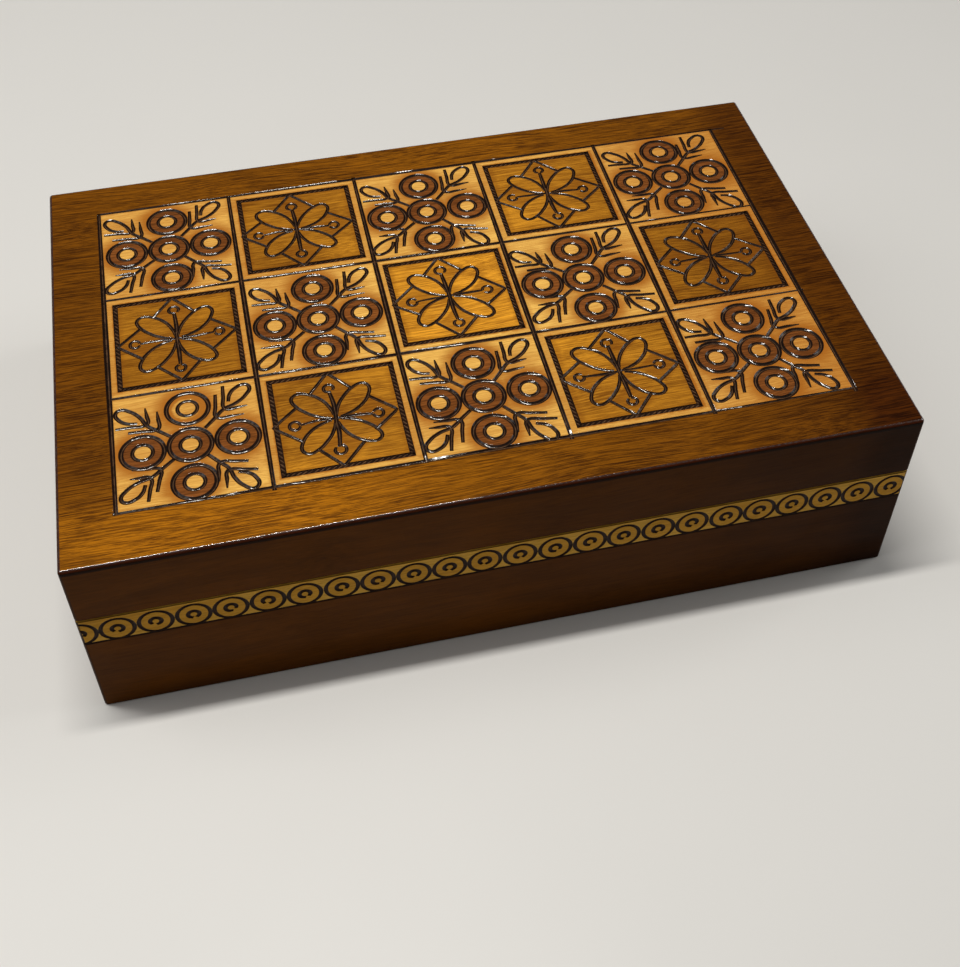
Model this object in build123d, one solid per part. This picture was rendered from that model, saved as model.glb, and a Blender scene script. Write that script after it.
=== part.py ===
from build123d import *

import math
import os

# A keepsake box of solid boards. The carcass is glued up as one closed block and sawn apart into a
# base and a lid, which two brass butt hinges join along the back.
# Millimetres. X runs along the front, Y to the back, Z up. Origin: middle of the underside.

# Overall sizes of the wooden block
length = 260.0
width = 170.0
height = 70.0
lid_height = 24.0

# Boards and sheets
wall = 9.0
top_thickness = 4.0
bottom_thickness = 4.0

# Joints between the boards
corner_lip = 3.0
bottom_lip = 3.0

# Saw cut between lid and base, and the easing of the edges
seam_gap = 0.3
edge_round = 1.2
arris = 0.4

# Hinges: the barrel is let into the back by its inset
hinge_length = 25.0
hinge_end_distance = 46.0
barrel_inset = 1.0
knuckle_radius = 1.7
knuckle_count = 5
knuckle_gap = 0.25
leaf_thickness = 0.9
leaf_margin = 1.0
pin_radius = 0.9
pin_end_chamfer = 0.25
pin_clearance = 0.05
barrel_clearance = 0.4
mortise_clearance = 0.1

# The back edges of the seam are bevelled past the barrel's axis by this much, so that the lid leans
# back beyond upright before the two bevels meet
lean = 0.2

# Hinge screws
screw_head_radius = 1.4
screw_shank_radius = 0.7
screw_length = 7.0
screw_point = 1.6
screw_spacing = 15.0
screw_slot_width = 0.35
screw_slot_depth = 0.3
screw_clearance = 0.05

# Places worked out from the sizes above
seam = height - lid_height
base_top = seam - seam_gap / 2
lid_bottom = seam + seam_gap / 2
rail_top = height - top_thickness
half_length = length / 2
half_width = width / 2
back_bevel = barrel_inset + lean
axis_y = half_width - barrel_inset
leaf_depth = wall - barrel_inset - leaf_margin
knuckle_pitch = hinge_length / knuckle_count
barrel_space = knuckle_radius + barrel_clearance
screw_y = (axis_y - barrel_space + axis_y - leaf_depth) / 2
hinge_middles = {"left": hinge_end_distance - half_length, "right": half_length - hinge_end_distance}
overcut = 5.0


def block(x, y, z):
    """A box between three pairs of limits."""
    sides = [high - low for low, high in (x, y, z)]
    middle = [(low + high) / 2 for low, high in (x, y, z)]
    return Pos(*middle) * Box(*sides)


def mirrored(shape):
    """The same shape on the other side of the seam."""
    return mirror(shape, Plane.XY.offset(seam))


# Carcass: one closed block with rounded corners, which is then cut up

def upright_edges(solid):
    return solid.edges().filter_by(Axis.Z)


def ring(low, high):
    """The four walls between two heights, with rounded corners and eased outer edges."""
    outer = block((-half_length, half_length), (-half_width, half_width), (low, high))
    outer = fillet(upright_edges(outer), edge_round)
    rims = outer.edges().group_by(Axis.Z)
    outer = chamfer(rims[0] + rims[-1], arris)
    inside = block((wall - half_length, half_length - wall), (wall - half_width, half_width - wall),
                   (low - overcut, high + overcut))
    return outer - inside


def back_bevel_cut():
    """Wedge that takes the back edge off the base along the seam."""
    corner = [(half_width - back_bevel, base_top), (half_width + overcut, base_top),
              (half_width + overcut, base_top - back_bevel - overcut)]
    wedge = Plane.YZ * make_face(Polyline(*corner, close=True))
    return Pos(-length, 0, 0) * extrude(wedge, 2 * length)


def hinge_mortise(middle):
    """Shallow bed for a leaf and the deeper trench for the barrel, in the base's top edge."""
    reach = hinge_length / 2 + mortise_clearance
    x = (middle - reach, middle + reach)
    bed = block(x, (axis_y - leaf_depth - mortise_clearance, half_width + overcut),
                (base_top - leaf_thickness, base_top + overcut))
    trench = block(x, (axis_y - barrel_space, half_width + overcut), (seam - barrel_space, base_top + overcut))
    return bed + trench


def screw_places(middle):
    return [(middle + side * screw_spacing / 2, screw_y, base_top) for side in (-1, 1)]


def screw_form(clearance=0.0):
    """A countersunk wood screw, head uppermost at the origin, or the hole that it goes in."""
    head = screw_head_radius + clearance
    shank = screw_shank_radius + clearance
    end = screw_length + clearance
    profile = [(0, 0), (head, 0), (shank, shank - head), (shank, screw_point - end), (0, -end)]
    face = Plane.XZ * make_face(Polyline(*profile, close=True))
    return revolve(face, Axis.Z)


def cut_for_hinges(walls):
    """Takes the bevel, the mortises and the screw holes out of the base's walls."""
    walls -= back_bevel_cut()
    for middle in hinge_middles.values():
        walls -= hinge_mortise(middle)
        for place in screw_places(middle):
            walls -= Pos(*place) * screw_form(screw_clearance)
    return walls


def long_board_space(side, low, high):
    """Space of a front or back board: full length, with a rebate at each end for the end board."""
    outer = side * half_width
    lip = side * (half_width - corner_lip)
    inner = side * (half_width - wall)
    y_lip = sorted((outer, lip))
    y_rest = sorted((lip, inner))
    face = block((-half_length, half_length), y_lip, (low, high))
    return face + block((wall - half_length, half_length - wall), y_rest, (low, high))


def end_board_space(side, low, high):
    """Space of an end board, which stands in the rebates of the front and back boards."""
    x = sorted((side * half_length, side * (half_length - wall)))
    return block(x, (corner_lip - half_width, half_width - corner_lip), (low, high))


def boards(prefix, suffix, walls, low, high):
    """Cuts a ring of walls into its four boards."""
    spaces = {
        "front": long_board_space(-1, low, high),
        "back": long_board_space(1, low, high),
        "left": end_board_space(-1, low, high),
        "right": end_board_space(1, low, high),
    }
    return {f"{prefix}_{name}_{suffix}": walls & space for name, space in spaces.items()}


# Base

def bottom_panel():
    """Bottom sheet, let into a rebate round the underside and flush with it."""
    return block((bottom_lip - half_length, half_length - bottom_lip),
                 (bottom_lip - half_width, half_width - bottom_lip), (0, bottom_thickness))


def base_boards():
    walls = cut_for_hinges(ring(0, base_top)) - bottom_panel()
    return boards("base", "board", walls, 0, base_top)


# Lid

def lid_rails():
    """The lid's four rails: the same hinge cuts as in the base, on the other side of the seam."""
    walls = ring(lid_bottom, rail_top + arris)
    walls &= block((-length, length), (-width, width), (lid_bottom, rail_top))
    walls = mirrored(cut_for_hinges(mirrored(walls)))
    return boards("lid", "rail", walls, lid_bottom, rail_top)


def top_panel():
    """Top board, glued on the rails and rounded over with the corners."""
    panel = block((-half_length, half_length), (-half_width, half_width), (rail_top, height))
    lower_rim = panel.edges().group_by(Axis.Z)[0]
    return fillet([edge for edge in panel.edges() if edge not in lower_rim], edge_round)


# Hinges

def barrel(middle, places, radius, shortened):
    """Stretches of the hinge's barrel, counted from its left end."""
    stretch = knuckle_pitch - shortened
    start = middle - hinge_length / 2
    return [Pos(start + (place + 0.5) * knuckle_pitch, axis_y, seam) * Rot(0, 90, 0) * Cylinder(radius, stretch)
            for place in places]


def leaf(middle, own):
    """A leaf that lies in the base, with its own knuckles and room for the other leaf's."""
    other = [place for place in range(knuckle_count) if place not in own]
    plate = block((middle - hinge_length / 2, middle + hinge_length / 2), (axis_y - leaf_depth, axis_y),
                  (base_top - leaf_thickness, base_top))
    for room in barrel(middle, other, knuckle_radius + barrel_clearance, 0):
        plate -= room
    for knuckle in barrel(middle, own, knuckle_radius, knuckle_gap):
        plate += knuckle
    bore = Pos(middle, axis_y, seam) * Rot(0, 90, 0) * Cylinder(pin_radius + pin_clearance, 2 * hinge_length)
    plate -= bore
    for place in screw_places(middle):
        plate -= Pos(*place) * screw_form(screw_clearance)
    return plate


def hinge_pin(middle):
    pin = Pos(middle, axis_y, seam) * Rot(0, 90, 0) * Cylinder(pin_radius, hinge_length)
    return chamfer(pin.edges().filter_by(GeomType.CIRCLE), pin_end_chamfer)


def hinge_screws():
    """The base's screws, heads flush with the leaves."""
    slot = block((-screw_head_radius, screw_head_radius), (-screw_slot_width / 2, screw_slot_width / 2),
                 (-screw_slot_depth, screw_slot_depth))
    screw = screw_form() - slot
    return [Pos(*place) * screw for middle in hinge_middles.values() for place in screw_places(middle)]


def hinges():
    """Leaves and pins of both hinges; the base's leaf has the outer knuckles and holds the pin."""
    pieces = {}
    outer_knuckles = range(0, knuckle_count, 2)
    inner_knuckles = range(1, knuckle_count, 2)
    for side, middle in hinge_middles.items():
        pieces[f"{side}_hinge_base_leaf"] = leaf(middle, outer_knuckles)
        pieces[f"{side}_hinge_lid_leaf"] = mirrored(leaf(middle, inner_knuckles))
        pieces[f"{side}_hinge_pin"] = hinge_pin(middle)
    return pieces


def furthest_opening():
    """Angle in degrees at which the back bevels of lid and base would meet."""
    away = (lean + seam_gap / 2) / math.sqrt(2)
    outer_end = math.hypot(barrel_inset, back_bevel + seam_gap / 2)
    along = math.sqrt(outer_end ** 2 - away ** 2)
    return 90 + math.degrees(2 * math.atan(away / along))


pieces = {}
pieces.update(base_boards())
pieces["bottom_panel"] = bottom_panel()
pieces.update(lid_rails())
pieces["lid_top_panel"] = top_panel()
pieces.update(hinges())
pieces["base_hinge_screws"] = Compound(children=hinge_screws())
pieces["lid_hinge_screws"] = Compound(children=[mirrored(screw) for screw in hinge_screws()])

os.makedirs("parts", exist_ok=True)
for name, piece in pieces.items():
    export_step(piece, f"parts/{name}.step")

print(len(pieces), "nodes; the back bevels meet at", round(furthest_opening(), 1), "degrees")
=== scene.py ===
"""Looks of a carved keepsake box with a hinged lid.

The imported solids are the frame. The lid's top and the four boards of the base are carved here, every
other solid keeps its shape, and each surface gets its finish. Sizes are in millimetres unless a name or
a docstring says otherwise; Blender's own units are metres.
"""
import logging
import math
import random
from dataclasses import dataclass, field, replace
from enum import Enum
from functools import reduce

import bpy
from mathutils import Euler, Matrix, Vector


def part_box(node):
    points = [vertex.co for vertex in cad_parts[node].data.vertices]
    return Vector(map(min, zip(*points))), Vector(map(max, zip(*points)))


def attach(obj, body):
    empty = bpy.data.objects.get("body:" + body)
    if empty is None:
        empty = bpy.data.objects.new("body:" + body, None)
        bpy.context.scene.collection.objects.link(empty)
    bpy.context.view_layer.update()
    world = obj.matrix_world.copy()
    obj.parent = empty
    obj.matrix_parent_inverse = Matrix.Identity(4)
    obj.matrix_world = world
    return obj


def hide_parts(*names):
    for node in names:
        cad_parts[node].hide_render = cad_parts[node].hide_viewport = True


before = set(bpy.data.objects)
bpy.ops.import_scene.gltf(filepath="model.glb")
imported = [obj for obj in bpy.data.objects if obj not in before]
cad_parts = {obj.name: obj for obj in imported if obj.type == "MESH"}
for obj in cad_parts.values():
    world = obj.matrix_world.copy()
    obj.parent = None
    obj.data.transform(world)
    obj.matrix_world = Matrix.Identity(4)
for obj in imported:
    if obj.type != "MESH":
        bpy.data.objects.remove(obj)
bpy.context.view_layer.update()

MM = 0.001
PER_METRE = (1000.0, 1000.0, 1000.0)
FULL_TURN = 360.0
QUARTER_TURN = 90.0
log = logging.getLogger("keepsake_box")

Point = tuple[float, float]
Colour = tuple[float, float, float]
Line = tuple[Point, ...]

# Two heights this close are one, and a face is level or a groove's bed where its normal points out more
TOUCH = 0.001
LEVEL = 0.999
BED_SLOPE = 0.9

# Half of the gouge's section, from above the wood down to its flat bottom, and the stroke it stands for
GOUGE_HALF: Line = ((0.85, 0.4), (0.85, 0.012), (0.69, -0.04), (0.14, -0.47))
GOUGE_WIDTH = 1.2


class Stain(Enum):
    """The finishes that meet on the lid's top, in the order of its material slots."""

    BORDER = 0
    PALE = 1
    STRIP = 2
    AMBER = 3
    RUSSET = 4
    BURNT = 5
    # The bed of a groove: burnt wood, lighter as a painted sheen of the lacquer in its bottom.
    ASHEN = 6
    SCORCHED = 7
    EDGE = 8
    RIM = 9
    SIDE = 10


class Band(Enum):
    """What a face of a banded board is, in the order of the board's material slots."""

    PLAIN = 0
    WALL = 1
    BED = 2
    RINGED = 3


class Motif(Enum):
    """The two ornaments that take turns over the lid's tiles."""

    RINGS = "rings and sprigs"
    PETALS = "four petals in a rope frame"


class Face(Enum):
    """An outer face that carries carving, with its tilt and turn in degrees from a flat drawing."""

    TOP = (0.0, 0.0)
    FRONT = (90.0, 0.0)
    BACK = (90.0, 180.0)
    LEFT = (90.0, -90.0)
    RIGHT = (90.0, 90.0)


class Grain(Enum):
    """Which way the fibres of a board run, as a turn in degrees."""

    LENGTHWISE = 0.0
    CROSSWISE = 90.0


# Sizes of the closed box


@dataclass(frozen=True)
class BoxSize:
    """Outer sizes of the closed box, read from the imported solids."""

    half_length: float
    half_width: float
    height: float

    @classmethod
    def from_frame(cls) -> "BoxSize":
        """Reads the sizes from the lid's top board."""
        return cls(*(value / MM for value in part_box("lid_top_panel")[1]))

    def middle_of(self, face: Face) -> Vector:
        """Finds the origin of a face's own drawing.

        Args:
            face: The face.

        Returns:
            The middle of the top, or the middle of a side's foot, in metres.
        """
        places = {
            Face.TOP: (0.0, 0.0, self.height),
            Face.FRONT: (0.0, -self.half_width, 0.0),
            Face.BACK: (0.0, self.half_width, 0.0),
            Face.LEFT: (-self.half_length, 0.0, 0.0),
            Face.RIGHT: (self.half_length, 0.0, 0.0),
        }
        return Vector(places[face]) * MM


# Work at the bench: small moves made with Blender's own operators


@dataclass(frozen=True)
class Stroke:
    """One pull of the gouge over a flat face. Start, end and pinch are shares of the full section."""

    points: Line
    width: float
    closed: bool = False
    straight: bool = False
    start: float = 1.0
    end: float = 1.0
    pinch: float = 1.0

    def turned(self, degrees: float, scale: float, middle: Point) -> "Stroke":
        """The same stroke turned and scaled about the origin, then moved.

        Args:
            degrees: Turn, anticlockwise.
            scale: Size factor for the line, not for its width.
            middle: Where the origin goes.

        Returns:
            The moved stroke.
        """
        angle = math.radians(degrees)
        cos, sin = math.cos(angle) * scale, math.sin(angle) * scale
        moved = tuple((middle[0] + x * cos - y * sin, middle[1] + x * sin + y * cos) for x, y in self.points)
        return replace(self, points=moved)

    def bite(self, place: int) -> float:
        """How far the gouge goes in at one point, as a share of its full section.

        Args:
            place: Number of the point along the stroke.

        Returns:
            A share between the end's own share and 1.
        """
        if self.closed:
            return self.pinch if place % 2 else 1.0
        if place == 0:
            return self.start
        return self.end if place == len(self.points) - 1 else 1.0


Layer = tuple[list[Stroke], int]


def round_line(heart: Point, radius: float, first: float, sweep: float, count: int) -> Line:
    """Points along a circle or a part of one.

    Args:
        heart: Its middle.
        radius: Its radius.
        first: Where it starts, in degrees.
        sweep: How far it goes, in degrees.
        count: How many points it has.

    Returns:
        The points.
    """
    steps = count if abs(sweep) >= FULL_TURN else count - 1
    angles = [math.radians(first + sweep * number / steps) for number in range(count)]
    return tuple((heart[0] + radius * math.cos(turn), heart[1] + radius * math.sin(turn)) for turn in angles)


def circle(heart: Point, radius: float, width: float, pinch: float = 1.0) -> Stroke:
    """A closed round stroke."""
    return Stroke(round_line(heart, radius, 0.0, FULL_TURN, 4), width, closed=True, pinch=pinch)


def hold(piece: bpy.types.Object) -> None:
    """Makes one piece the only one that is selected and active.

    Args:
        piece: The piece.
    """
    bpy.ops.object.select_all(action="DESELECT")
    piece.select_set(True)
    bpy.context.view_layer.objects.active = piece


def blank(node: str, name: str) -> bpy.types.Object:
    """Copies a solid of the frame as a blank to carve.

    Args:
        node: The solid's name.
        name: The new piece's name.

    Returns:
        The blank, with its loose triangles merged, no material and no stored corner normals.
    """
    piece = bpy.data.objects.new(name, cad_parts[node].data.copy())
    bpy.context.scene.collection.objects.link(piece)
    piece.data.materials.clear()
    hold(piece)
    bpy.ops.object.mode_set(mode="EDIT")
    bpy.ops.mesh.select_all(action="SELECT")
    bpy.ops.mesh.remove_doubles(threshold=1e-6)
    bpy.ops.object.mode_set(mode="OBJECT")
    bpy.ops.mesh.customdata_custom_splitnormals_clear()
    return piece


def gouge_section() -> bpy.types.Object:
    """Draws the gouge's section for a stroke of the width it stands for.

    Returns:
        A closed flat curve: a soft shoulder and a sloping wall on each side of a flat bottom.
    """
    outline = GOUGE_HALF + tuple((-across, up) for across, up in reversed(GOUGE_HALF))
    bpy.ops.object.select_all(action="DESELECT")
    bpy.ops.curve.primitive_bezier_circle_add()
    section = bpy.context.object
    section.data.splines.clear()
    section.data.dimensions = "2D"
    line = section.data.splines.new("POLY")
    line.points.add(len(outline) - 1)
    line.use_cyclic_u = True
    for point, (across, up) in zip(line.points, outline):
        point.co = (across * MM, up * MM, 0.0, 1.0)
    return section


def gouge(size: BoxSize, face: Face, strokes: list[Stroke], smoothness: int) -> bpy.types.Object:
    """Makes the bars whose undersides are the grooves of a set of strokes.

    Args:
        size: Sizes of the box.
        face: The face that is carved.
        strokes: Strokes that don't touch each other.
        smoothness: Steps between two points of a stroke.

    Returns:
        A closed mesh of bars, in place on the face.
    """
    section = gouge_section()
    bpy.ops.object.select_all(action="DESELECT")
    bpy.ops.curve.primitive_bezier_curve_add()
    line = bpy.context.object.data
    line.splines.clear()
    line.dimensions = "3D"
    line.twist_mode = "Z_UP"
    line.resolution_u = smoothness
    line.bevel_mode = "OBJECT"
    line.bevel_object = section
    line.use_fill_caps = True
    for stroke in strokes:
        add_bar(line, stroke)
    bpy.ops.object.convert(target="MESH")
    bpy.ops.object.mode_set(mode="EDIT")
    bpy.ops.mesh.select_all(action="SELECT")
    bpy.ops.mesh.remove_doubles(threshold=1e-7)
    bpy.ops.mesh.normals_make_consistent(inside=False)
    bpy.ops.object.mode_set(mode="OBJECT")
    bpy.data.objects.remove(section)
    bars = bpy.context.object
    tilt, turn = face.value
    bars.rotation_euler = (math.radians(tilt), 0.0, math.radians(turn))
    bars.location = size.middle_of(face)
    bpy.ops.object.transform_apply(location=True, rotation=True, scale=True)
    return bars


def add_bar(line: bpy.types.Curve, stroke: Stroke) -> None:
    """Adds one stroke's bar to a curve on the flat drawing.

    Args:
        line: The curve that takes the bar.
        stroke: The stroke.
    """
    spline = line.splines.new("BEZIER")
    spline.bezier_points.add(len(stroke.points) - 1)
    spline.use_cyclic_u = stroke.closed
    handle = "VECTOR" if stroke.straight else "AUTO"
    for place, (point, spot) in enumerate(zip(spline.bezier_points, stroke.points)):
        point.co = (spot[0] * MM, spot[1] * MM, 0.0)
        point.radius = stroke.bite(place) * stroke.width / GOUGE_WIDTH
        point.handle_left_type = handle
        point.handle_right_type = handle


def cut(piece: bpy.types.Object, cutter: bpy.types.Object) -> None:
    """Takes a cutter's shape out of a piece and puts the cutter away.

    Args:
        piece: The piece that is cut.
        cutter: A closed mesh.
    """
    hold(piece)
    change = piece.modifiers.new("cut", "BOOLEAN")
    change.operation = "DIFFERENCE"
    change.solver = "MANIFOLD"
    change.object = cutter
    bpy.ops.object.modifier_apply(modifier=change.name)
    bpy.data.objects.remove(cutter)


def join(pieces: list[bpy.types.Object]) -> bpy.types.Object:
    """Joins pieces into the first of them.

    Args:
        pieces: The pieces.

    Returns:
        The joined piece.
    """
    hold(pieces[0])
    for piece in pieces:
        piece.select_set(True)
    bpy.ops.object.join()
    return pieces[0]


def copy_to(piece: bpy.types.Object, place: Vector, degrees: float) -> bpy.types.Object:
    """Copies a piece with its own mesh, turns it about the upright axis and moves it.

    Args:
        piece: The model.
        place: Where its origin goes, in metres.
        degrees: Turn, anticlockwise seen from above.

    Returns:
        The copy, with its place in its mesh.
    """
    hold(piece)
    bpy.ops.object.duplicate(linked=False)
    twin = bpy.context.object
    twin.location = place
    twin.rotation_euler = (0.0, 0.0, math.radians(degrees))
    bpy.ops.object.transform_apply(location=True, rotation=True, scale=True)
    return twin


def smooth(piece: bpy.types.Object, degrees: float = 42.0) -> None:
    """Shades a piece smooth except at edges sharper than an angle."""
    hold(piece)
    bpy.ops.object.shade_smooth_by_angle(angle=math.radians(degrees))


def flatten(piece: bpy.types.Object, heights: tuple[float, ...]) -> None:
    """Divides the flat faces at some heights into triangles and shades them flat.

    Args:
        piece: The piece.
        heights: Heights in metres.
    """
    hold(piece)
    bpy.ops.object.mode_set(mode="EDIT")
    bpy.ops.mesh.select_mode(type="FACE")
    bpy.ops.mesh.select_all(action="DESELECT")
    bpy.ops.object.mode_set(mode="OBJECT")
    for face in piece.data.polygons:
        away = min(abs(face.center.z - height) for height in heights)
        face.select = face.normal.z > LEVEL and away < TOUCH * MM
    bpy.ops.object.mode_set(mode="EDIT")
    bpy.ops.mesh.quads_convert_to_tris(quad_method="BEAUTY", ngon_method="BEAUTY")
    bpy.ops.mesh.faces_shade_flat()
    bpy.ops.object.mode_set(mode="OBJECT")


def flatten_large(piece: bpy.types.Object, least: float) -> None:
    """Shades large faces flat, so that soft edges don't bend their shine.

    Args:
        piece: The piece.
        least: Area in square metres above which a face is large.
    """
    for face in piece.data.polygons:
        if face.area > least:
            face.use_smooth = False


# Node work


@dataclass(frozen=True)
class Wire:
    """A value between two shader nodes, which can be reckoned with like a number."""

    graph: "Graph"
    socket: bpy.types.NodeSocket

    def __add__(self, other: object) -> "Wire":
        """The sum with a value or a number."""
        return self.graph.math("ADD", self, other)

    def __sub__(self, other: object) -> "Wire":
        """This value less another one or a number."""
        return self.graph.math("SUBTRACT", self, other)

    def __rsub__(self, other: float) -> "Wire":
        """A number less this value."""
        return self.graph.math("SUBTRACT", other, self)

    def __mul__(self, other: object) -> "Wire":
        """The product with a value or a number."""
        return self.graph.math("MULTIPLY", self, other)

    def __abs__(self) -> "Wire":
        """The value without its sign."""
        return self.graph.math("ABSOLUTE", self)

    def held(self) -> "Wire":
        """The value, kept between 0 and 1."""
        return self.graph.math("ADD", self, 0.0, clamp=True)


class Graph:
    """Short hand for placing and joining shader nodes."""

    def __init__(self, tree: bpy.types.NodeTree) -> None:
        """Takes the node tree that is worked on."""
        self.tree = tree

    def node(self, kind: str, **settings: object) -> bpy.types.Node:
        """Adds a node and sets its properties.

        Args:
            kind: The node's type without the ShaderNode in front.
            settings: Properties by name.

        Returns:
            The node.
        """
        made = self.tree.nodes.new("ShaderNode" + kind)
        for name, value in settings.items():
            setattr(made, name, value)
        return made

    def fill(self, node: bpy.types.Node, inputs: dict[int | str, object]) -> None:
        """Fills inputs of a node.

        Args:
            node: The node.
            inputs: Wires to link, or plain numbers and tuples to set, by the input's name or number.
        """
        for name, value in inputs.items():
            if isinstance(value, Wire):
                self.tree.links.new(value.socket, node.inputs[name])
            else:
                node.inputs[name].default_value = value

    def wire(self, kind: str, inputs: dict[int | str, object], output: int | str = 0,
             **settings: object) -> Wire:
        """Adds a node, fills its inputs and gives one of its outputs.

        Args:
            kind: The node's type without the ShaderNode in front.
            inputs: What goes in, by the input's name or number.
            output: The output that is wanted.
            settings: Properties by name.

        Returns:
            The output.
        """
        made = self.node(kind, **settings)
        self.fill(made, inputs)
        return Wire(self, made.outputs[output])

    def group(self, tree: bpy.types.NodeTree, place: Wire) -> dict[str, Wire]:
        """Places one of the shared groups.

        Args:
            tree: The group.
            place: What goes into its Vector.

        Returns:
            The group's outputs by name.
        """
        made = self.node("Group", node_tree=tree)
        self.fill(made, {"Vector": place})
        return {socket.name: Wire(self, socket) for socket in made.outputs}

    def millimetres(self, place: Wire) -> list[Wire]:
        """Takes a place apart.

        Args:
            place: The place, in metres.

        Returns:
            Its three parts in millimetres.
        """
        made = self.node("SeparateXYZ")
        self.fill(made, {0: self.stretch(place, PER_METRE)})
        return [Wire(self, socket) for socket in made.outputs]

    def math(self, operation: str, *values: object, clamp: bool = False) -> Wire:
        """A Math node's result, kept between 0 and 1 where clamp is set."""
        return self.wire("Math", dict(enumerate(values)), operation=operation, use_clamp=clamp)

    def least(self, *values: Wire) -> Wire:
        """The least of some values."""
        return reduce(lambda first, second: self.math("MINIMUM", first, second), values)

    def most(self, *values: Wire) -> Wire:
        """The greatest of some values."""
        return reduce(lambda first, second: self.math("MAXIMUM", first, second), values)

    def step(self, value: Wire, low: object, high: object) -> Wire:
        """A soft step from 0 at low to 1 at high, which may be the lower number."""
        inputs = {"Value": value, "From Min": low, "From Max": high}
        return self.wire("MapRange", inputs, "Result", interpolation_type="SMOOTHSTEP", clamp=True)

    def spread(self, value: Wire, low: float, high: float) -> Wire:
        """Brings a mask from 0 to 1 onto another range."""
        return self.wire("MapRange", {"Value": value, "To Min": low, "To Max": high}, "Result", clamp=True)

    def stretch(self, place: Wire, scale: Colour) -> Wire:
        """Multiplies a place by a factor for each axis."""
        return self.wire("VectorMath", {0: place, 1: scale}, operation="MULTIPLY")

    def turned(self, place: Wire, degrees: float, scale: Colour = (1.0, 1.0, 1.0)) -> Wire:
        """Stretches a place and turns it about the upright axis."""
        turn = (0.0, 0.0, math.radians(degrees))
        return self.wire("Mapping", {"Vector": place, "Rotation": turn, "Scale": scale})

    def distance(self, across: Wire, along: Wire, spot: Point) -> Wire:
        """Distance of a place in a drawing from a spot."""
        flat = self.wire("CombineXYZ", {0: across, 1: along})
        return self.wire("VectorMath", {0: flat, 1: (*spot, 0.0)}, "Value", operation="DISTANCE")

    def noise(self, place: Wire, scale: float, detail: float, rough: float, output: str = "Fac") -> Wire:
        """A Noise Texture's value, about 0 to 1; rough is how strong the finer octaves are."""
        inputs = {"Vector": place, "Scale": scale, "Detail": detail, "Roughness": rough}
        return self.wire("TexNoise", inputs, output)

    def fibres(self, place: Wire, along: float, across: float, detail: float, rough: float) -> Wire:
        """Noise that is drawn out along the first axis, with its own scale along and across."""
        return self.noise(self.stretch(place, (along, across, across)), 1.0, detail, rough)

    def blend(self, mask: Wire, first: object, second: object, mode: str = "MIX") -> Wire:
        """Mixes two colours: the first where the mask is 0, the second where it is 1."""
        paints = [(*value, 1.0) if isinstance(value, tuple) else value for value in (first, second)]
        return self.wire("Mix", {0: mask, 6: paints[0], 7: paints[1]}, 2, data_type="RGBA", blend_type=mode)

    def bump(self, height: Wire, distance: float, strength: float) -> Wire:
        """A Bump node's normal; the distance is what a height of 1 stands for, in metres."""
        return self.wire("Bump", {"Height": height, "Distance": distance, "Strength": strength}, "Normal")


@dataclass(frozen=True)
class StainAndShadeSpans:
    """Where the top is darkened, partly by thicker stain and partly as painted shade: a painted light pool
    leaves the middle and front left brightest, the right and back left darker. Spans over which each part
    starts, and how much it adds.
    """

    rightwards: Point = (-70.0, 30.0)
    backwards: Point = (-74.0, -50.0)
    far_right: Point = (20.0, 125.0)
    near_end: Point = (26.0, 8.0)
    thin_lit_middle: Point = (60.0, 15.0)
    far_tiles: Point = (45.0, 95.0)
    on_right: float = 0.22
    on_far_right: float = 0.22
    on_end: float = 0.08
    on_right_end: float = 0.06
    on_front_right: float = 0.11
    on_back_left: float = 0.37
    off_middle: float = 0.25


@dataclass(frozen=True)
class Heat:
    """Where the hot iron has browned a tile: spans from none to full in millimetres, and strengths."""

    ragged: float = 0.8
    ragged_scale: float = 500.0
    off_hole: Point = (0.5, 1.5)
    off_ring: Point = (6.0, 0.2)
    off_stem: Point = (8.0, 1.5)
    stem_end: Point = (38.0, 26.0)
    stem: float = 0.6
    to_line: Point = (21.0, 22.4)
    line: float = 0.4
    to_strip: Point = (21.2, 19.9)
    upright: float = 0.45
    upright_soft: float = 0.5
    petal_scale: Point = (0.086, 0.2)
    petal_middle: Point = (1.06, 0.0)
    off_petal: Point = (0.9, 1.1)
    petal_end: Point = (20.5, 18.0)
    point: float = 0.55
    off_heart: Point = (9.0, 2.0)
    heart: float = 0.5
    to_rope: Point = (16.6, 18.4)
    rope: float = 0.4


def start_group(name: str) -> tuple[Graph, Wire]:
    """Makes an empty group with a Vector input.

    Args:
        name: The group's name.

    Returns:
        The group's graph and the Vector.
    """
    tree = bpy.data.node_groups.new(name, "ShaderNodeTree")
    tree.interface.new_socket("Vector", in_out="INPUT", socket_type="NodeSocketVector")
    graph = Graph(tree)
    return graph, Wire(graph, tree.nodes.new("NodeGroupInput").outputs["Vector"])


def close_group(graph: Graph, **outputs: Wire) -> bpy.types.NodeTree:
    """Gives a group its outputs.

    Args:
        graph: The group's graph.
        outputs: Values by the output's name.

    Returns:
        The group.
    """
    for name in outputs:
        graph.tree.interface.new_socket(name, in_out="OUTPUT", socket_type="NodeSocketFloat")
    graph.fill(graph.tree.nodes.new("NodeGroupOutput"), outputs)
    return graph.tree


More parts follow.
